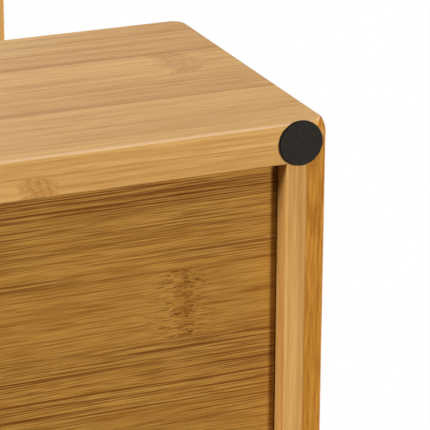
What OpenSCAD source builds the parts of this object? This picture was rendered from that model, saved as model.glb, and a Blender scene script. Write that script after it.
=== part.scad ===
// Three-tier standing shelf in laminated bamboo, in millimetres.
// Each tier is a shelf board inside a back wall and two side walls that are mitred at the rear.
// Uprights in line with the side walls carry one tier above the other, and four pads carry the whole.
// X runs along the width, the open front faces -Y, and the pads stand on Z = 0.

/* [Overall] */
// Outside width of every tier
shelf_w = 400; // [300:5:600]
// Outside depth of every tier, from the open front to the back
shelf_d = 250; // [200:5:350]
// Rise from one tier to the next
tier_pitch = 280; // [230:2:350]

/* [Walls] */
// Thickness of the back walls, side walls and uprights
wall_t = 12; // [10:0.5:16]
// Height of the back and side walls of a tier
wall_h = 106.5; // [85:0.5:140]
// Radius of the arrises on the outer faces of the walls and on the uprights
arris_r = 0.75; // [0.5:0.25:2.5]
// Radius of the arrises on the inner faces of the walls
inner_arris_r = 0.5; // [0.25:0.25:1.5]
// Rounding of a wall's corners, seen square on to its outer face
corner_r = 6; // [1:0.5:8]

/* [Shelf boards] */
// Thickness of a shelf board
board_t = 12; // [10:0.5:16]
// Underside of a shelf board above the lower edges of its walls
board_rise = 5.9; // [1.6:0.1:12]
// Slack between the end of a shelf board and the side wall
board_gap = 0.2; // [0.1:0.1:0.8]
// Radius of the rounded arrises on a shelf board
board_arris_r = 0.5; // [0.5:0.5:4]

/* [Uprights] */
// Width of an upright, front to back
upright_w = 110; // [100:5:130]

/* [Foot pads] */
// Diameter of an anti-slip pad
pad_dia = 13; // [10:0.5:16]
// Thickness of a pad
pad_t = 1; // [0.8:0.1:2]
// Rounding of a pad's lower rim
pad_rim_r = 0.3; // [0.1:0.05:0.4]
// Corner of the tier to a pad's centre, along the wall it is stuck to
pad_set = 8; // [7:0.1:12]

/* [Dowels] */
// Diameter of a dowel
dowel_d = 6; // [5:0.5:7]
// Length of a dowel
dowel_l = 30; // [24:1:36]
// Depth that a dowel reaches into the face of a wall
dowel_in_wall = 8; // [6:0.5:8.5]
// Slack round a dowel, and past each of its ends
dowel_fit = 0.05; // [0.02:0.01:0.1]
// Bevel on a dowel's ends
dowel_bevel = 0.6; // [0.3:0.1:1]
// End of a row of dowels to the edge of its board
dowel_end = 25; // [20:1:30]
// Dowels between a shelf board and each side wall
side_dowels = 3; // [2:1:3]
// Dowels between a shelf board and the back wall
back_dowels = 4; // [2:1:6]

/* [Mitre splines] */
// Thickness of the spline that locks a mitre
spline_t = 3; // [2:0.5:3.5]
// Width of a spline, across the mitre
spline_w = 10; // [8:0.5:11]
// Upper and lower edges of a wall to the ends of its spline
spline_stop = 10; // [6:1:20]
// Inner corner of a mitre to the middle of its spline
spline_in = 6; // [5:0.25:7]
// Slack round a spline in its grooves
spline_fit = 0.1; // [0.05:0.05:0.2]

/* [Hidden] */

$fn = 48;
light_bamboo = "#C9A06A";
edge_bamboo = "#CFA05A";
dark_bamboo = "#A87B33";
beech = "#D8B98A";
foam = "#2E2A27";

// A pad is wider than the edge it is stuck to, so it stands past the walls by this much.
pad_over = max(0, (pad_dia - wall_t) / 2);
// The pads at the rear stand past the back face, and the box is centred with them in it.
front_y = -(shelf_d + pad_over) / 2;
back_y = front_y + shelf_d;
side_x = shelf_w / 2;
inner_x = side_x - wall_t;
inner_y = back_y - wall_t;
mid_y = (front_y + back_y) / 2;
// Length past a board's end, so that a cutter clears it
over = 1;

board_half_w = inner_x - board_gap;
board_z = board_rise + board_t / 2;
// Depth of a bore past the part of the dowel that it takes
bore_in_wall = dowel_in_wall + dowel_fit;
bore_in_end = dowel_l - dowel_in_wall + dowel_fit;
spline_l = wall_h - 2 * spline_stop;

function tier_z(i) = pad_t + i * tier_pitch;
function spread(first, last, count) = [for (k = [0 : count - 1]) first + (last - first) * k / (count - 1)];

side_dowel_ys = spread(front_y + dowel_end, inner_y - dowel_end, side_dowels);
back_dowel_xs = spread(-board_half_w + dowel_end, board_half_w - dowel_end, back_dowels);
// Two in each end of an upright, clear of the shelf board's middle dowel in the same wall
upright_dowel_ys = [mid_y - upright_w / 2 + dowel_end, mid_y + upright_w / 2 - dowel_end];

// Rectangle from corner a to corner b whose four corners are arcs of radius r
module soft_rect(a, b, r) {
  translate([a.x + r, a.y]) square([b.x - a.x - 2 * r, b.y - a.y]);
  translate([a.x, a.y + r]) square([b.x - a.x, b.y - a.y - 2 * r]);
  for (x = [a.x + r, b.x - r], y = [a.y + r, b.y - r]) translate([x, y]) circle(r = r);
}

// Outlines drawn in plan, from the front and from the side, each extruded to meet the others
module plan_prism(z0, z1) { translate([0, 0, z0]) linear_extrude(z1 - z0) children(); }
module front_prism(y0, y1) { translate([0, y1, 0]) rotate([90, 0, 0]) linear_extrude(y1 - y0) children(); }
module side_prism(x0, x1) {
  translate([x0, 0, 0]) rotate([90, 0, 90]) linear_extrude(x1 - x0) children();
}

// Section of a wall from its inner face to its outer face, with a radius for each
module wall_section(inner, outer) {
  out = sign(outer - inner);
  inner_end = outer - out * (arris_r + over);
  outer_end = inner + out * (inner_arris_r + over);
  soft_rect([min(inner, inner_end), 0], [max(inner, inner_end), wall_h], inner_arris_r);
  soft_rect([min(outer, outer_end), 0], [max(outer, outer_end), wall_h], arris_r);
}

// Board from corner a to corner b with all twelve arrises rounded
module soft_board(a, b, r) {
  intersection() {
    plan_prism(a.z, b.z) soft_rect([a.x, a.y], [b.x, b.y], r);
    front_prism(a.y, b.y) soft_rect([a.x, a.z], [b.x, b.z], r);
    side_prism(a.x, b.x) soft_rect([a.y, a.z], [b.y, b.z], r);
  }
}

// Bevelled pin along +Z from the origin
module dowel(l) {
  rotate_extrude() polygon([
    [0, 0], [dowel_d / 2 - dowel_bevel, 0], [dowel_d / 2, dowel_bevel],
    [dowel_d / 2, l - dowel_bevel], [dowel_d / 2 - dowel_bevel, l], [0, l]
  ]);
}

module bore(l) { cylinder(d = dowel_d + 2 * dowel_fit, h = l); }

// Places its children at each dowel between a shelf board and the walls, with +Z out of the board
module at_side_dowels(side) {
  for (y = side_dowel_ys) translate([side * inner_x, y, board_z]) rotate([0, side * 90, 0]) children();
}
module at_back_dowels() {
  for (x = back_dowel_xs) translate([x, inner_y, board_z]) rotate([-90, 0, 0]) children();
}
// Places its children at each dowel of an upright's end, with +Z up
module at_upright_dowels(side) {
  for (y = upright_dowel_ys) translate([side * (side_x - wall_t / 2), y, 0]) children();
}

// Strip set square across the mitre at one rear corner
module spline(side, fit) {
  corner = [side * inner_x, inner_y, 0];
  slot = [spline_w + 2 * fit, spline_t + 2 * fit, spline_l + 2 * fit];
  translate(corner + [side, 1, 0] * spline_in * sin(45) + [0, 0, spline_stop - fit])
    rotate([0, 0, -side * 45])
      translate([-slot.x / 2, -slot.y / 2, 0]) cube(slot);
}

// Half of the plan on one side of the mitre plane: behind it for the back wall, in front for a side wall
module mitre_half(side, behind) {
  reach = shelf_w + shelf_d;
  polygon(behind
    ? [[side * side_x, back_y], [side * (side_x - reach), back_y - reach], [side * (side_x - reach), back_y]]
    : [[side * side_x, back_y], [side * (side_x - reach), back_y - reach], [side * side_x, back_y - reach]]);
}

module shelf_board(i) {
  color(dark_bamboo) translate([0, 0, tier_z(i)]) difference() {
    soft_board(
      [-board_half_w, front_y, board_rise], [board_half_w, inner_y, board_rise + board_t], board_arris_r
    );
    for (side = [-1, 1]) at_side_dowels(side) rotate([180, 0, 0]) bore(bore_in_end);
    at_back_dowels() rotate([180, 0, 0]) bore(bore_in_end);
  }
}

module back_wall(i) {
  color(light_bamboo) translate([0, 0, tier_z(i)]) difference() {
    intersection() {
      side_prism(-side_x, side_x) wall_section(inner_y, back_y);
      front_prism(inner_y, back_y) soft_rect([-side_x, 0], [side_x, wall_h], corner_r);
      plan_prism(0, wall_h) intersection() {
        soft_rect([-side_x, front_y], [side_x, back_y], arris_r);
        mitre_half(-1, true);
        mitre_half(1, true);
      }
    }
    at_back_dowels() bore(bore_in_wall);
    for (side = [-1, 1]) spline(side, spline_fit);
  }
}

// Upright bores in a side wall: the lowest tier has them above only, the highest below only
module side_wall(i, side) {
  outer = side * side_x;
  inner = side * inner_x;
  x0 = min(outer, inner);
  x1 = max(outer, inner);
  color(edge_bamboo) translate([0, 0, tier_z(i)]) difference() {
    intersection() {
      front_prism(front_y, back_y) wall_section(inner, outer);
      side_prism(x0, x1) soft_rect([front_y, 0], [back_y, wall_h], corner_r);
      plan_prism(0, wall_h) intersection() {
        soft_rect([x0, front_y], [x1, back_y], arris_r);
        mitre_half(side, false);
      }
    }
    at_side_dowels(side) bore(bore_in_wall);
    spline(side, spline_fit);
    if (i < 2) at_upright_dowels(side) translate([0, 0, wall_h - dowel_l / 2 - dowel_fit]) bore(dowel_l);
    if (i > 0) at_upright_dowels(side) translate([0, 0, dowel_l / 2 + dowel_fit - dowel_l]) bore(dowel_l);
  }
}

module upright(i, side) {
  low = tier_z(i) + wall_h;
  high = tier_z(i + 1);
  x0 = min(side * side_x, side * inner_x);
  color(light_bamboo) difference() {
    soft_board([x0, mid_y - upright_w / 2, low], [x0 + wall_t, mid_y + upright_w / 2, high], arris_r);
    at_upright_dowels(side) translate([0, 0, low + dowel_l / 2 + dowel_fit - dowel_l]) bore(dowel_l);
    at_upright_dowels(side) translate([0, 0, high - dowel_l / 2 - dowel_fit]) bore(dowel_l);
  }
}

// Stuck on at one spot of the lowest tier's edges, with its lower rim rounded
module foot_pad(spot) {
  r = pad_dia / 2;
  color(foam) translate(spot) rotate_extrude() union() {
    translate([0, pad_rim_r]) square([r, pad_t - pad_rim_r]);
    square([r - pad_rim_r, pad_t]);
    translate([r - pad_rim_r, pad_rim_r]) circle(r = pad_rim_r);
  }
}
module rear_pad(side) { foot_pad([side * (side_x - pad_set), back_y - wall_t / 2, 0]); }
module front_pad(side) { foot_pad([side * (side_x - wall_t / 2), front_y + pad_set, 0]); }

module board_dowels(i) {
  color(beech) translate([0, 0, tier_z(i)]) {
    for (side = [-1, 1]) at_side_dowels(side) translate([0, 0, dowel_in_wall - dowel_l]) dowel(dowel_l);
    at_back_dowels() translate([0, 0, dowel_in_wall - dowel_l]) dowel(dowel_l);
  }
}

module joint_dowels(i) {
  color(beech) for (side = [-1, 1], z = [tier_z(i) + wall_h, tier_z(i + 1)])
    at_upright_dowels(side) translate([0, 0, z - dowel_l / 2]) dowel(dowel_l);
}

module mitre_splines(i) {
  color(beech) translate([0, 0, tier_z(i)]) for (side = [-1, 1]) spline(side, 0);
}

shelf_board(0);  // lower_shelf_board
shelf_board(1);  // middle_shelf_board
shelf_board(2);  // upper_shelf_board
back_wall(0);  // lower_back_wall
back_wall(1);  // middle_back_wall
back_wall(2);  // upper_back_wall
side_wall(0, -1);  // lower_left_wall
side_wall(1, -1);  // middle_left_wall
side_wall(2, -1);  // upper_left_wall
side_wall(0, 1);  // lower_right_wall
side_wall(1, 1);  // middle_right_wall
side_wall(2, 1);  // upper_right_wall
upright(0, -1);  // lower_left_upright
upright(0, 1);  // lower_right_upright
upright(1, -1);  // upper_left_upright
upright(1, 1);  // upper_right_upright
rear_pad(-1);  // rear_left_pad
rear_pad(1);  // rear_right_pad
front_pad(-1);  // front_left_pad
front_pad(1);  // front_right_pad
board_dowels(0);  // lower_board_dowels
board_dowels(1);  // middle_board_dowels
board_dowels(2);  // upper_board_dowels
joint_dowels(0);  // lower_upright_dowels
joint_dowels(1);  // upper_upright_dowels
mitre_splines(0);  // lower_mitre_splines
mitre_splines(1);  // middle_mitre_splines
mitre_splines(2);  // upper_mitre_splines
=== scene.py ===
from math import radians

import bpy
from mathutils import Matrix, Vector


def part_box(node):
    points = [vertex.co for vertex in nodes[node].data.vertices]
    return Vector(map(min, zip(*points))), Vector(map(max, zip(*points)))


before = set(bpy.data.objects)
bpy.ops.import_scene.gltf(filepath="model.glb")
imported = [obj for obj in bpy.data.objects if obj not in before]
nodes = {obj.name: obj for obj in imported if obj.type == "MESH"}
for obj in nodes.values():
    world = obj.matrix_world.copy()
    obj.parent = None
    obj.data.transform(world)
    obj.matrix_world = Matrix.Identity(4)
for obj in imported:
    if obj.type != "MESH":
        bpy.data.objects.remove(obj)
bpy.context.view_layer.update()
print("frame loaded:", len(nodes), "nodes")

mmPerMetre = 1000.0
mixA, mixB, mixOut = 6, 7, 2       # where a Mix node keeps its colours
sameStrip = 0.4                    # strips are whole numbers, closer than this is the same strip


def linear(hexColour):
    # sRGB hex to the linear colour that shaders and lamps take
    channels = [int(hexColour[i:i + 2], 16) / 255 for i in (1, 3, 5)]
    return [c / 12.92 if c <= 0.04045 else ((c + 0.055) / 1.055) ** 2.4 for c in channels] + [1.0]


def add(tree, kind, inputs=None, out=0, **settings):
    # one node with its settings and its links, gives back the output asked for
    node = tree.nodes.new("ShaderNode" + kind)
    for name, value in settings.items():
        setattr(node, name, value)
    for socket, value in (inputs or {}).items():
        if isinstance(value, bpy.types.NodeSocket):
            tree.links.new(value, node.inputs[socket])
        else:
            node.inputs[socket].default_value = value
    return node.outputs[out] if node.outputs else node


def newMaterial(name):
    material = bpy.data.materials.new(name)
    material.use_nodes = True
    material.node_tree.nodes.clear()
    return material, material.node_tree


# Two plies of flat strips, 20 mm wide and 6 mm thick, glued, planed, sanded and lacquered satin.
# The eye gets straight fibres, a tone of its own for each strip, a wavy band where the cane had
# a node every 26 cm, and darker ends where the fibres are cut across.

naturalBamboo = {
    "pale": "#D8A75F",       # lightest wood between the fibres
    "deep": "#B37B33",       # darkest soft streak
    "line": "#97601F",       # thin dark fibres and glue lines
    "end": "#9A6A30",        # fibres cut across
    "arrisHighlight": "#CBA67C",     # painted highlight: paler, whiter colour on the outer arrises, where the lacquer would catch the light
    "endFrom": 0.75,         # how squarely fibres are cut where that starts to show, 0 to 1
    "endSoft": 0.20,         # and how much more squarely where it shows in full
    "stripWidth": 20.5,      # mm
    "plyThickness": 5.95,    # mm, first ply
    "nodePitch": 260.0,      # mm from node to node along the cane
    "nodeHalf": 6.0,         # mm, half the length of a node
    "wanderMm": 1.5,         # how far the fibres stray sideways
    "kinkMm": 2.0,           # how far they bend in a node
    "depthStretch": 1.0,     # fibres this much deeper than wide
    "bodyMix": 0.36,         # how far the body leans to the deep tone
    "stripSpread": 0.20,     # tone from strip to strip
    "broad": 0.95,           # strength of soft streaks 4 mm wide
    "streak": 1.35,          # of streaks 1.2 mm wide
    "fine": 1.35,            # of fibres 0.2 mm wide
    "lines": 0.32,           # of the thin dark lines
    "lineFrom": 0.63,        # noise level where a dark line starts, lower gives more lines
    "jointShade": 0.60,      # darker wood beside the glue line of a strip
    "nodeShade": 0.10,       # darker wood in a node
    "nodeArc": 0.30,         # wavy lines across a node
    "nodeMark": 0.0,         # dark marks in the middle of a node
    "nodeDash": 0.12,        # short dashes either side of a node
    "roughness": 0.45,
    "specular": 0.24,
}
# Steamed until it is caramel: darker, with finer and straighter fibres and dotted nodes
# the colour for its outer arrises is a painted highlight, as in the natural finish
caramelBamboo = dict(
    naturalBamboo, pale="#BA893C", deep="#87500A", line="#622A00", end="#4A2406", arrisHighlight="#B08443",
    endFrom=0.60, endSoft=0.40, nodeHalf=3.0, wanderMm=0.35, kinkMm=0.5, depthStretch=3.0,
    bodyMix=0.32, stripSpread=0.10, broad=0.35, streak=0.45, fine=2.30, lines=0.84, lineFrom=0.56,
    jointShade=0.10, nodeArc=0.0, nodeMark=0.45, nodeDash=0.90, roughness=0.55, specular=0.10,
)

cane = {                     # how both finishes are built up
    "toneStep": 0.618,       # from strip to strip, so that neighbours differ
    "firstTone": 0.5,        # tone of the first strip, 0 palest and 1 deepest
    "strayMm": (700.0, 90.0, 60.0),    # how far off each strip's own piece of cane is taken
    "wander": (110.0, 25.0, 25.0),     # mm, length and width of a slow bend of the fibres
    "kink": (5.0, 6.0, 6.0),           # mm, the same in a node
    "nodeWave": 1.1,         # in half lengths of a node, how far it strays along the grain
    "nodeFade": (0.5, 1.3),  # in the same, where it starts to fade and where it ends
    "dashFade": (1.0, 6.5),  # the same for the dashes beside it
    "paleRise": (0.6, 1.1),  # for the paler wood on one side, where it comes in
    "paleFade": (1.0, 7.0),  # and where it goes out
    "paleShade": 0.26,       # how much paler
    "besideWidth": 0.26,     # of a strip's width, the darker wood beside a glue line
    "besidePower": 2.0,      # higher keeps it to the darkest strips
    "lineFewer": 0.07,       # added to lineFrom in the strip with the fewest lines
    "lineMore": 0.03,        # taken off it in the strip with the most
    "lineLeast": 0.45,       # share of their strength in the strip with the fewest
    # a pattern, noise above lineFrom where it starts, more where it is full, its most
    "lineKinds": (("longLines", 0.0, 0.04, 1.0), ("shortLines", 0.02, 0.05, 0.8)),
    "lineAway": (0.3, 1.0, 0.15),      # how near a node they start to fade, are faintest, how faint
    "stripGlue": (0.006, 0.022, 0.30),           # of a strip's width, full and gone, strength
    "plyGlue": (0.05, 0.28, 0.45),     # mm, full and gone, strength
    "arcPitch": 1.45,        # mm, half the distance from arc to arc in a node
    "arcWave": 1.2,          # mm
    "arcHalf": (0.1, 0.9),   # mm, full and gone
    "markWave": 3.0,         # mm
    "markHalf": (0.7, 2.2),  # mm, full and gone
    "markFrom": (0.47, 0.60),          # noise levels where a mark starts and is full
    "dashFrom": (0.55, 0.66),          # the same for a dash
    "dashPower": 1.5,        # higher keeps dashes closer to the node
    "endMost": 0.9,          # how far cut fibres go to the end colour
    "arrisFrom": (0.15, 0.55),         # how far a rounding has turned where the painted highlight starts
    "fineFrom": (0.25, 0.75),          # noise levels between the fine fibres and on them
    "smoother": 0.05,        # less rough than the finish's number between them
    "rougher": 0.08,         # rougher on them
    "bump": 0.5,
    "relief": 0.00006,       # m, depth of the fibres under the lacquer
}

# mm along the grain, across it and through the board, and the noise's detail
grainPatterns = {
    "broad": ((160, 4.0, 4.0), 1.0),
    "streak": ((70, 1.2, 1.2), 1.5),
    "fine": ((12, 0.21, 0.21), 1.0),
    "longLines": ((75, 0.34, 0.34), 1.0),
    "shortLines": ((16, 0.29, 0.29), 1.0),
    "dashes": ((4.0, 0.30, 0.30), 1.0),
    "coarse": ((11, 0.70, 0.70), 2.0),
}
canePatterns = {             # the same, for what doesn't follow the bent fibres
    "wave": ((26, 5.5, 5.5), 1.5),
    "marks": ((1.3, 0.80, 0.80), 1.0),
}


def bamboo(name, finish, along, across, through, plyShift, nodeAt, seed, nodeStep=0.618,
           linePhase=0.3, arrisHighlight=0.3, darkStrip=None):
    # along, across and through are (axis, where it starts in metres, direction) of the grain, the
    # width and the thickness. plyShift and nodeAt have a number in mm for each ply: how far its
    # strips are moved across, and where its first strip has a node. The next strip has its node
    # nodeStep of a pitch further on. linePhase picks the strips that have the most dark lines.
    material, tree = newMaterial(name)
    split = add(tree, "SeparateXYZ", {0: add(tree, "TexCoord", out="Object")}).node
    facing = add(tree, "SeparateXYZ", {0: add(tree, "NewGeometry", out="Normal")}).node
    endOn, edgeOn, faceOn = [facing.outputs[side[0]] for side in (along, across, through)]
    sides = []
    for axis, start, direction in (along, across, through):
        turned = mmPerMetre * direction
        sides.append(add(tree, "Math", {0: split.outputs[axis], 1: turned, 2: -turned * start},
                         operation="MULTIPLY_ADD"))
    grainMm, widthMm, depthMm = sides
    ply = add(tree, "Math", {0: depthMm, 1: finish["plyThickness"]}, operation="GREATER_THAN")

    # which strip, how far across it, and the numbers that make it differ from its neighbours
    shift = add(tree, "MapRange", {"Value": ply, "To Min": plyShift[0], "To Max": plyShift[1]})
    moved = add(tree, "Math", {0: widthMm, 1: shift}, operation="ADD")
    stripPlace = add(tree, "Math", {0: moved, 1: finish["stripWidth"]}, operation="DIVIDE")
    strip = add(tree, "Math", {0: stripPlace}, operation="FLOOR")
    acrossStrip = add(tree, "Math", {0: stripPlace}, operation="FRACT")
    stripKey = add(tree, "CombineXYZ", {0: strip, 1: ply, 2: seed})
    chance = add(tree, "TexWhiteNoise", {0: stripKey}, out="Color", noise_dimensions="3D")
    order = add(tree, "Math", {0: strip, 1: cane["toneStep"], 2: ply}, operation="MULTIPLY_ADD")
    shares = []
    for phase in (cane["firstTone"], linePhase):
        later = add(tree, "Math", {0: order, 1: phase}, operation="ADD")
        shares.append(add(tree, "Math", {0: later}, operation="FRACT"))
    toneShare, lineShare = shares

    # fibres run straight and wander a little
    thinned = add(tree, "Math", {0: depthMm, 1: finish["depthStretch"]}, operation="DIVIDE")
    plain = add(tree, "CombineXYZ", {0: grainMm, 1: widthMm, 2: thinned})
    stray = add(tree, "VectorMath", {0: chance, 1: cane["strayMm"]}, operation="MULTIPLY")
    strips = add(tree, "VectorMath", {0: plain, 1: stray}, operation="ADD")
    bend = {}
    for kind in ("wander", "kink"):
        scaled = add(tree, "VectorMath", {0: strips, 1: [1 / mm for mm in cane[kind]]},
                     operation="MULTIPLY")
        bend[kind] = add(tree, "TexNoise", {"Vector": scaled, "Scale": 1.0, "Detail": 1.0},
                         out="Color")
    sideways = (0.0, finish["wanderMm"], finish["wanderMm"])
    wander = add(tree, "VectorMath", {0: bend["wander"], 1: sideways}, operation="MULTIPLY")
    bent = add(tree, "VectorMath", {0: strips, 1: wander}, operation="ADD")
    pattern = {}
    for kind, (size, detail) in canePatterns.items():
        scaled = add(tree, "VectorMath", {0: strips, 1: [1 / mm for mm in size]},
                     operation="MULTIPLY")
        pattern[kind] = add(tree, "TexNoise", {"Vector": scaled, "Scale": 1.0, "Detail": detail})

    # distance along the grain from the cane's nearest node, which waves from side to side
    half, pitch = finish["nodeHalf"], finish["nodePitch"]
    nodeFade, dashFade, paleRise, paleFade = [
        [half * halves for halves in cane[key]]
        for key in ("nodeFade", "dashFade", "paleRise", "paleFade")]
    nodeWave = half * cane["nodeWave"]
    firstNode = add(tree, "MapRange", {"Value": ply, "To Min": nodeAt[0], "To Max": nodeAt[1]})
    fromFirst = add(tree, "Math", {0: grainMm, 1: firstNode}, operation="SUBTRACT")
    turns = add(tree, "Math", {0: fromFirst, 1: 1 / pitch, 2: 0.5}, operation="MULTIPLY_ADD")
    stepped = add(tree, "Math", {0: strip, 1: -nodeStep, 2: turns}, operation="MULTIPLY_ADD")
    cycle = add(tree, "Math", {0: stepped}, operation="FRACT")
    nodeMm = add(tree, "Math", {0: cycle, 1: pitch, 2: -0.5 * pitch}, operation="MULTIPLY_ADD")
    nodeMid = add(tree, "Math", {0: nodeMm, 1: nodeWave}, operation="SUBTRACT")
    wavyMm = add(tree, "Math", {0: pattern["wave"], 1: 2 * nodeWave, 2: nodeMid},
                 operation="MULTIPLY_ADD")
    wavyFar = add(tree, "Math", {0: wavyMm}, operation="ABSOLUTE")
    nodeBand = add(tree, "MapRange", {
        "Value": wavyFar, "From Min": nodeFade[0], "From Max": nodeFade[1], "To Min": 1.0,
        "To Max": 0.0}, interpolation_type="SMOOTHSTEP")
    nodeFar = add(tree, "Math", {0: nodeMm}, operation="ABSOLUTE")
    nodeNear = add(tree, "MapRange", {
        "Value": nodeFar, "From Min": dashFade[0], "From Max": dashFade[1], "To Min": 1.0,
        "To Max": 0.0})

    # in a node the fibres bend
    kinkMm = add(tree, "Math", {0: nodeBand, 1: finish["kinkMm"]}, operation="MULTIPLY")
    kink = add(tree, "VectorMath", {0: bend["kink"], "Scale": kinkMm}, operation="SCALE")
    fibreMm = add(tree, "VectorMath", {0: bent, 1: kink}, operation="ADD")
    for kind, (size, detail) in grainPatterns.items():
        scaled = add(tree, "VectorMath", {0: fibreMm, 1: [1 / mm for mm in size]},
                     operation="MULTIPLY")
        pattern[kind] = add(tree, "TexNoise", {"Vector": scaled, "Scale": 1.0, "Detail": detail})

    # tone of the body: the strip's own, then streaks and fine fibres
    spread = finish["stripSpread"]
    tone = add(tree, "Math", {0: toneShare, 1: spread, 2: finish["bodyMix"] - 0.5 * spread},
               operation="MULTIPLY_ADD")
    for kind in ("broad", "streak", "fine"):
        part = add(tree, "Math", {0: pattern[kind], 1: finish[kind], 2: -0.5 * finish[kind]},
                   operation="MULTIPLY_ADD")
        tone = add(tree, "Math", {0: tone, 1: part}, operation="ADD")
    # darker beside a glue line, paler on one side of a node, darker in it
    beside = add(tree, "MapRange", {
        "Value": acrossStrip, "From Max": cane["besideWidth"], "To Min": finish["jointShade"],
        "To Max": 0.0}, interpolation_type="SMOOTHSTEP")
    darkCane = add(tree, "Math", {0: toneShare, 1: cane["besidePower"]}, operation="POWER")
    tone = add(tree, "Math", {0: beside, 1: darkCane, 2: tone}, operation="MULTIPLY_ADD")
    paler = add(tree, "MapRange", {
        "Value": wavyMm, "From Min": paleFade[0], "From Max": paleFade[1],
        "To Min": -cane["paleShade"], "To Max": 0.0})
    past = add(tree, "MapRange", {
        "Value": wavyMm, "From Min": paleRise[0], "From Max": paleRise[1]})
    tone = add(tree, "Math", {0: paler, 1: past, 2: tone}, operation="MULTIPLY_ADD")
    tone = add(tree, "Math", {0: nodeBand, 1: finish["nodeShade"], 2: tone},
               operation="MULTIPLY_ADD", use_clamp=True)
    body = add(tree, "Mix", {0: tone, mixA: linear(finish["pale"]), mixB: linear(finish["deep"])},
               out=mixOut, data_type="RGBA")

    # thin dark lines, more in some strips than in others, and fainter close to a node
    lineStart = add(tree, "MapRange", {
        "Value": lineShare, "To Min": finish["lineFrom"] + cane["lineFewer"],
        "To Max": finish["lineFrom"] - cane["lineMore"]})
    lineMask = 0.0
    for kind, later, soft, most in cane["lineKinds"]:
        start = add(tree, "Math", {0: lineStart, 1: later}, operation="ADD")
        full = add(tree, "Math", {0: start, 1: soft}, operation="ADD")
        mask = add(tree, "MapRange", {
            "Value": pattern[kind], "From Min": start, "From Max": full, "To Max": most})
        lineMask = add(tree, "Math", {0: mask, 1: lineMask}, operation="MAXIMUM")
    strength = add(tree, "MapRange", {
        "Value": lineShare, "To Min": cane["lineLeast"] * finish["lines"],
        "To Max": finish["lines"]})
    near, nearest, faint = cane["lineAway"]
    away = add(tree, "MapRange", {
        "Value": nodeNear, "From Min": near, "From Max": nearest, "To Min": 1.0, "To Max": faint})
    lineShade = add(tree, "Math", {0: strength, 1: away}, operation="MULTIPLY")
    lines = add(tree, "Math", {0: lineMask, 1: lineShade}, operation="MULTIPLY")

    # glue lines between strips and between the plies
    edgeFar = add(tree, "Math", {0: acrossStrip, 1: 0.5}, operation="PINGPONG")
    fromPly = add(tree, "Math", {0: depthMm, 1: finish["plyThickness"]}, operation="SUBTRACT")
    plyFar = add(tree, "Math", {0: fromPly}, operation="ABSOLUTE")
    glue = []
    for far, (full, gone, most) in ((edgeFar, cane["stripGlue"]), (plyFar, cane["plyGlue"])):
        glue.append(add(tree, "MapRange", {
            "Value": far, "From Min": full, "From Max": gone, "To Min": most, "To Max": 0.0}))
    stripGlue, plyGlue = glue

    # a node: wavy lines across the strip, dark marks in the middle, short dashes either side
    arcPlace = add(tree, "Math", {0: pattern["marks"], 1: cane["arcWave"], 2: wavyMm},
                   operation="MULTIPLY_ADD")
    arcFar = add(tree, "Math", {0: arcPlace, 1: cane["arcPitch"]}, operation="PINGPONG")
    arcLine = add(tree, "MapRange", {
        "Value": arcFar, "From Min": cane["arcHalf"][0], "From Max": cane["arcHalf"][1],
        "To Min": finish["nodeArc"], "To Max": 0.0})
    arc = add(tree, "Math", {0: arcLine, 1: nodeBand}, operation="MULTIPLY")
    middlePlace = add(tree, "Math", {0: pattern["wave"], 1: cane["markWave"], 2: nodeMm},
                      operation="MULTIPLY_ADD")
    middleFar = add(tree, "Math", {0: middlePlace}, operation="ABSOLUTE")
    middle = add(tree, "MapRange", {
        "Value": middleFar, "From Min": cane["markHalf"][0], "From Max": cane["markHalf"][1],
        "To Min": finish["nodeMark"], "To Max": 0.0})
    specks = add(tree, "MapRange", {
        "Value": pattern["marks"], "From Min": cane["markFrom"][0],
        "From Max": cane["markFrom"][1]})
    mark = add(tree, "Math", {0: specks, 1: middle}, operation="MULTIPLY")
    nearer = add(tree, "Math", {0: nodeNear, 1: cane["dashPower"]}, operation="POWER")
    dashShade = add(tree, "Math", {0: nearer, 1: finish["nodeDash"]}, operation="MULTIPLY")
    dashes = add(tree, "MapRange", {
        "Value": pattern["dashes"], "From Min": cane["dashFrom"][0],
        "From Max": cane["dashFrom"][1]})
    dash = add(tree, "Math", {0: dashes, 1: dashShade}, operation="MULTIPLY")

    darkest = lines
    for other in (stripGlue, plyGlue, arc, mark, dash):
        darkest = add(tree, "Math", {0: darkest, 1: other}, operation="MAXIMUM")
    colour = add(tree, "Mix", {0: darkest, mixA: body, mixB: linear(finish["line"])}, out=mixOut,
                 data_type="RGBA")

    widthFacing = add(tree, "Math", {0: edgeOn}, operation="ABSOLUTE")
    if darkStrip:            # one strip of the first ply, whose edge is darker and coarser
        isStrip = add(tree, "Math", {0: strip, 1: darkStrip["strip"], 2: sameStrip},
                      operation="COMPARE")
        firstPly = add(tree, "Math", {0: 1.0, 1: ply}, operation="SUBTRACT")
        edge = add(tree, "MapRange", {
            "Value": widthFacing, "From Min": darkStrip["edgeFrom"][0],
            "From Max": darkStrip["edgeFrom"][1]})
        firstEdge = add(tree, "Math", {0: firstPly, 1: edge}, operation="MULTIPLY")
        isDark = add(tree, "Math", {0: isStrip, 1: firstEdge}, operation="MULTIPLY")
        coarse = add(tree, "MapRange", {
            "Value": pattern["coarse"], "From Min": darkStrip["coarseFrom"][0],
            "From Max": darkStrip["coarseFrom"][1]})
        darkBody = add(tree, "Mix", {
            0: coarse, mixA: linear(darkStrip["pale"]), mixB: linear(darkStrip["deep"])},
            out=mixOut, data_type="RGBA")
        butGlue = add(tree, "Math", {0: isDark, 1: plyGlue}, operation="SUBTRACT", use_clamp=True)
        colour = add(tree, "Mix", {0: butGlue, mixA: colour, mixB: darkBody}, out=mixOut,
                     data_type="RGBA")

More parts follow.
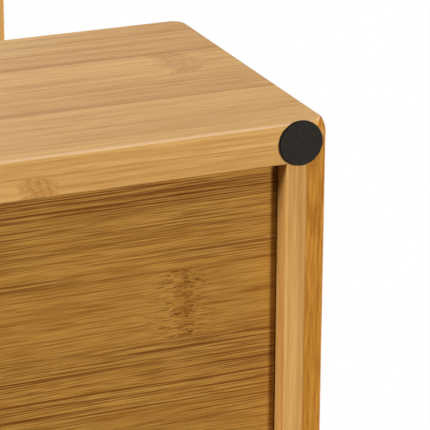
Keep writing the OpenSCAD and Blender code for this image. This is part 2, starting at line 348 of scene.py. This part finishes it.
    # fibres cut across drink more lacquer and look darker
    endFacing = add(tree, "Math", {0: endOn}, operation="ABSOLUTE")
    cut = add(tree, "MapRange", {
        "Value": endFacing, "From Min": finish["endFrom"],
        "From Max": finish["endFrom"] + finish["endSoft"], "To Max": cane["endMost"]},
        interpolation_type="SMOOTHSTEP")
    colour = add(tree, "Mix", {0: cut, mixA: colour, mixB: linear(finish["end"])}, out=mixOut,
                 data_type="RGBA")

    # painted highlight: the outer arrises are drawn paler, as if the lacquer caught the light along
    # them
    depthFacing = add(tree, "Math", {0: faceOn, 1: -through[2]}, operation="MULTIPLY")
    shares = []
    # a number given to the function sets how strong the painted highlight is where the arris turns
    # across the width
    for turn, most in ((depthFacing, 1.0), (widthFacing, arrisHighlight)):
        shares.append(add(tree, "MapRange", {
            "Value": turn, "From Min": cane["arrisFrom"][0], "From Max": cane["arrisFrom"][1],
            "To Max": most}, interpolation_type="SMOOTHSTEP"))
    arris = add(tree, "Math", {0: shares[0], 1: shares[1]}, operation="MULTIPLY")
    colour = add(tree, "Mix", {0: arris, mixA: colour, mixB: linear(finish["arrisHighlight"])},
                 out=mixOut, data_type="RGBA")

    roughness = add(tree, "MapRange", {
        "Value": pattern["fine"], "From Min": cane["fineFrom"][0], "From Max": cane["fineFrom"][1],
        "To Min": finish["roughness"] - cane["smoother"],
        "To Max": finish["roughness"] + cane["rougher"]})
    relief = add(tree, "Math", {0: darkest, 1: -1.0, 2: pattern["fine"]},
                 operation="MULTIPLY_ADD")
    bump = add(tree, "Bump", {
        "Height": relief, "Strength": cane["bump"], "Distance": cane["relief"]})
    shader = add(tree, "BsdfPrincipled", {
        "Base Color": colour, "Roughness": roughness, "Normal": bump,
        "Specular IOR Level": finish["specular"], "IOR": 1.5})
    add(tree, "OutputMaterial", {"Surface": shader})
    return material


def dress(node, material):
    for slot in nodes[node].material_slots:
        slot.material = material


tiers = ("lower", "middle", "upper")

# Backs and sides: natural bamboo. The lower tier's own numbers put its nodes where the photograph
# has them.
backWalls = {
    # the lower back wall shows the painted arris highlight at full strength
    "lower": {"plyShift": (7.4, 11.0), "nodeAt": (-8.0, 85.0), "seed": 4.0, "nodeStep": 0.7,
              "linePhase": 0.2, "arrisHighlight": 1.0},
    "middle": {"plyShift": (3.0, 14.0), "nodeAt": (140.0, 40.0), "seed": 11.0},
    "upper": {"plyShift": (15.0, 6.0), "nodeAt": (70.0, 200.0), "seed": 23.0},
}
for tier in tiers:
    low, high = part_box(tier + "_back_wall")
    dress(tier + "_back_wall", bamboo(
        tier + "BackWallBamboo", naturalBamboo, ("X", low.x, 1), ("Z", low.z, 1),
        ("Y", high.y, -1), **backWalls[tier]))

sideWalls = {
    "lower_left": {
        "plyShift": (5.0, 9.0), "nodeAt": (150.0, 170.0), "seed": 7.0,
        "darkStrip": {
            "strip": 0.0,                  # counted from the wall's lower edge
            "pale": "#C6882C", "deep": "#A3620D",
            "edgeFrom": (0.1, 0.4),        # how far the edge has turned where it starts, is full
            "coarseFrom": (0.34, 0.66),    # noise levels of pale and deep
        }},
    "lower_right": {"plyShift": (12.0, 2.0), "nodeAt": (60.0, 120.0), "seed": 31.0},
    "middle_left": {"plyShift": (2.0, 13.0), "nodeAt": (190.0, 90.0), "seed": 41.0},
    "middle_right": {"plyShift": (9.0, 4.0), "nodeAt": (30.0, 170.0), "seed": 43.0},
    "upper_left": {"plyShift": (16.0, 7.0), "nodeAt": (110.0, 20.0), "seed": 47.0},
    "upper_right": {"plyShift": (6.0, 15.0), "nodeAt": (200.0, 80.0), "seed": 53.0},
}
for place, numbers in sideWalls.items():
    low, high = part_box(place + "_wall")
    tier, side = place.split("_")
    outer = ("X", low.x, 1) if side == "left" else ("X", high.x, -1)
    dress(place + "_wall", bamboo(
        tier + side.title() + "WallBamboo", naturalBamboo, ("Y", high.y, -1), ("Z", low.z, 1),
        outer, **numbers))
print("walls dressed")

# Shelf boards: the same bamboo steamed to caramel
shelfBoards = {
    "lower": {"plyShift": (12.2, 6.0), "nodeAt": (-32.5, 150.0), "seed": 3.0, "linePhase": 0.95},
    "middle": {"plyShift": (9.0, 2.0), "nodeAt": (120.0, 210.0), "seed": 61.0},
    "upper": {"plyShift": (4.0, 12.0), "nodeAt": (200.0, 60.0), "seed": 67.0},
}
for tier in tiers:
    low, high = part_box(tier + "_shelf_board")
    dress(tier + "_shelf_board", bamboo(
        tier + "ShelfBamboo", caramelBamboo, ("X", low.x, 1), ("Y", high.y, -1), ("Z", low.z, 1),
        **shelfBoards[tier]))
print("shelf boards dressed")

uprights = {
    "lower_left": {"plyShift": (1.0, 12.0), "nodeAt": (60.0, 130.0), "seed": 71.0},
    "lower_right": {"plyShift": (10.0, 3.0), "nodeAt": (130.0, 20.0), "seed": 73.0},
    "upper_left": {"plyShift": (7.0, 16.0), "nodeAt": (20.0, 90.0), "seed": 79.0},
    "upper_right": {"plyShift": (14.0, 5.0), "nodeAt": (100.0, 50.0), "seed": 83.0},
}
for place, numbers in uprights.items():
    low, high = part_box(place + "_upright")
    tier, side = place.split("_")
    outer = ("X", low.x, 1) if side == "left" else ("X", high.x, -1)
    dress(place + "_upright", bamboo(
        tier + side.title() + "UprightBamboo", naturalBamboo, ("Z", low.z, 1), ("Y", low.y, 1),
        outer, **numbers))
print("uprights dressed")


beechPins = {
    "wood": "#D9B98C", "fleck": "#B98F5C",
    "fleckMm": (1.25, 1.25, 4.0),
    "fleckFrom": (0.55, 0.75),               # noise levels where a fleck starts and is full
    "fleckMost": 0.7,
    "roughness": 0.62,
    "bump": 0.2,
    "relief": 0.0001,                        # m
}


def beech():
    # Beech, turned or sawn and left raw: matt, even, pale and pinkish, with short brown flecks
    material, tree = newMaterial("turnedBeech")
    place = add(tree, "TexCoord", out="Object")
    mm = add(tree, "VectorMath", {0: place, "Scale": mmPerMetre}, operation="SCALE")
    scaled = add(tree, "VectorMath", {0: mm, 1: [1 / size for size in beechPins["fleckMm"]]},
                 operation="MULTIPLY")
    fleck = add(tree, "TexNoise", {"Vector": scaled, "Scale": 1.0, "Detail": 2.0})
    fleckMask = add(tree, "MapRange", {
        "Value": fleck, "From Min": beechPins["fleckFrom"][0],
        "From Max": beechPins["fleckFrom"][1], "To Max": beechPins["fleckMost"]})
    colour = add(tree, "Mix", {
        0: fleckMask, mixA: linear(beechPins["wood"]), mixB: linear(beechPins["fleck"])},
        out=mixOut, data_type="RGBA")
    bump = add(tree, "Bump", {
        "Height": fleck, "Strength": beechPins["bump"], "Distance": beechPins["relief"]})
    shader = add(tree, "BsdfPrincipled", {
        "Base Color": colour, "Roughness": beechPins["roughness"], "Normal": bump})
    add(tree, "OutputMaterial", {"Surface": shader})
    return material


rawBeech = beech()
for tier in tiers:
    dress(tier + "_board_dowels", rawBeech)
    dress(tier + "_mitre_splines", rawBeech)
for storey in ("lower", "upper"):
    dress(storey + "_upright_dowels", rawBeech)

footPads = {
    "face": "#272420", "dust": "#302C28",    # near black, a little warm, faintly mottled
    "cut": "#0B0908",                        # die-cut side, drawn near black: partly the foam's open cut, partly painted shade at the pad's rim
    "cellMm": 0.45,                          # real cells are finer, drawn coarse so that they show
    "mottleMm": 1.6,
    "mottleFrom": (0.35, 0.75),              # noise levels of face and dust
    "shadedCutFrom": (0.95, 0.5),                  # how level the skin is where the dark side, with its painted shade, starts
    "roughness": 0.85,
    "specular": 0.1,
    "bump": 0.4,
    "relief": 0.0001,                        # m
}


def evaFoam():
    # EVA foam, die cut from sheet: matt black with a fine closed-cell skin
    material, tree = newMaterial("blackEvaFoam")
    place = add(tree, "TexCoord", out="Object")
    mm = add(tree, "VectorMath", {0: place, "Scale": mmPerMetre}, operation="SCALE")
    cell = add(tree, "TexVoronoi", {"Vector": mm, "Scale": 1 / footPads["cellMm"]})
    mottle = add(tree, "TexNoise", {
        "Vector": mm, "Scale": 1 / footPads["mottleMm"], "Detail": 3.0})
    dusty = add(tree, "MapRange", {
        "Value": mottle, "From Min": footPads["mottleFrom"][0],
        "From Max": footPads["mottleFrom"][1]})
    skin = add(tree, "Mix", {
        0: dusty, mixA: linear(footPads["face"]), mixB: linear(footPads["dust"])},
        out=mixOut, data_type="RGBA")
    # the side of the pad is drawn near black, partly painted shade at its rim
    facing = add(tree, "SeparateXYZ", {0: add(tree, "NewGeometry", out="Normal")}).node
    level = add(tree, "Math", {0: facing.outputs["Z"]}, operation="ABSOLUTE")
    shadedCutSide = add(tree, "MapRange", {
        "Value": level, "From Min": footPads["shadedCutFrom"][0], "From Max": footPads["shadedCutFrom"][1]})
    colour = add(tree, "Mix", {0: shadedCutSide, mixA: skin, mixB: linear(footPads["cut"])}, out=mixOut,
                 data_type="RGBA")
    bump = add(tree, "Bump", {
        "Height": cell, "Strength": footPads["bump"], "Distance": footPads["relief"]})
    shader = add(tree, "BsdfPrincipled", {
        "Base Color": colour, "Roughness": footPads["roughness"],
        "Specular IOR Level": footPads["specular"], "Normal": bump})
    add(tree, "OutputMaterial", {"Surface": shader})
    return material


blackFoam = evaFoam()
for pad in ("rear_left", "rear_right", "front_left", "front_right"):
    dress(pad + "_pad", blackFoam)
print("pins and pads dressed")


studio = {
    "floorRadius": 3.0,      # m
    "floor": "#F2F1EE",
    "fadeFrom": 0.45,        # m from the middle, where the paper starts to fade to white
    "fadeTo": 1.5,
    "ambient": 0.06,         # world light on the object
    "aim": (0, 0, 0.1),      # where the lamps point
    "lamps": {               # name: (place in m, side in m, power in W)
        "windowLamp": ((2.15, 0.92, -0.25), 0.45, 50.0),
        "undersideLamp": ((-1.05, 0.76, -2.33), 0.45, 58.0),
        "backLamp": ((-1.0, 2.7, 0.1), 1.0, 24.0),
        "ceilingLamp": ((-0.3, -0.5, 2.9), 2.4, 50.0),
        "frontLamp": ((0.7, -2.5, 0.9), 2.0, 54.0),
        "leftLamp": ((-2.6, -0.3, 0.9), 2.0, 45.0),
    },
}


def makeFloor():
    # Pale paper that fades to white. The photograph is taken from under the pads, so the floor
    # shows only from above, and only to the camera.
    radius = studio["floorRadius"]
    corners = [(x * radius, y * radius, 0) for x, y in ((-1, -1), (1, -1), (1, 1), (-1, 1))]
    mesh = bpy.data.meshes.new("floor")
    mesh.from_pydata(corners, [], [(0, 1, 2, 3)])
    floor = bpy.data.objects.new("floor", mesh)
    bpy.context.scene.collection.objects.link(floor)
    material, tree = newMaterial("matPaperFloor")
    fromCamera = add(tree, "LightPath", out="Is Camera Ray")
    below = add(tree, "NewGeometry", out="Backfacing")
    above = add(tree, "Math", {0: 1.0, 1: below}, operation="SUBTRACT")
    shown = add(tree, "Math", {0: fromCamera, 1: above}, operation="MULTIPLY")
    paper = add(tree, "BsdfDiffuse", {"Color": linear(studio["floor"])})
    place = add(tree, "TexCoord", out="Object")
    away = add(tree, "VectorMath", {0: place}, out="Value", operation="LENGTH")
    fade = add(tree, "MapRange", {
        "Value": away, "From Min": studio["fadeFrom"], "From Max": studio["fadeTo"]},
        interpolation_type="SMOOTHSTEP")
    white = add(tree, "Emission", {"Color": (1, 1, 1, 1), "Strength": 1.0})
    backdrop = add(tree, "MixShader", {0: fade, 1: paper, 2: white})
    clear = add(tree, "BsdfTransparent")
    mixed = add(tree, "MixShader", {0: shown, 1: clear, 2: backdrop})
    add(tree, "OutputMaterial", {"Surface": mixed})
    mesh.materials.append(material)


def makeWorld():
    # White where the camera, a reflection or glass sees it, a faint light for all the rest
    world = bpy.data.worlds.new("studioWorld")
    bpy.context.scene.world = world
    world.use_nodes = True
    tree = world.node_tree
    tree.nodes.clear()
    path = add(tree, "LightPath").node
    seen = path.outputs["Is Camera Ray"]
    for ray in ("Is Glossy Ray", "Is Transmission Ray"):
        seen = add(tree, "Math", {0: seen, 1: path.outputs[ray]}, operation="MAXIMUM")
    strength = add(tree, "MapRange", {"Value": seen, "To Min": studio["ambient"], "To Max": 1.0})
    background = add(tree, "Background", {"Color": (1, 1, 1, 1), "Strength": strength})
    add(tree, "OutputWorld", {"Surface": background})


def makeLamps():
    for name, (place, side, power) in studio["lamps"].items():
        data = bpy.data.lights.new(name, "AREA")
        data.shape = "SQUARE"
        data.size = side
        data.energy = power
        lamp = bpy.data.objects.new(name, data)
        bpy.context.scene.collection.objects.link(lamp)
        lamp.location = place
        towards = Vector(studio["aim"]) - lamp.location
        lamp.rotation_euler = towards.to_track_quat("-Z", "Y").to_euler()
        lamp.visible_camera = False


makeFloor()
makeWorld()
makeLamps()
print("floor, background and lamps set")


photoCamera = {
    "place": (0.100507, 0.353218, -0.622302),
    "turn": (159.4856, 23.0848, 179.7262),   # degrees
    "lens": 219.64,                          # mm
    "sensor": 36.0,                          # mm
    "nearest": 0.01,                         # m, nearer things aren't drawn
}
cameraData = bpy.data.cameras.new("photoCamera")
cameraData.lens = photoCamera["lens"]
cameraData.sensor_width = photoCamera["sensor"]
cameraData.clip_start = photoCamera["nearest"]
camera = bpy.data.objects.new("photoCamera", cameraData)
bpy.context.scene.collection.objects.link(camera)
camera.location = photoCamera["place"]
camera.rotation_euler = [radians(angle) for angle in photoCamera["turn"]]
bpy.context.scene.camera = camera
bpy.context.scene.view_settings.view_transform = "Standard"
print("camera set")
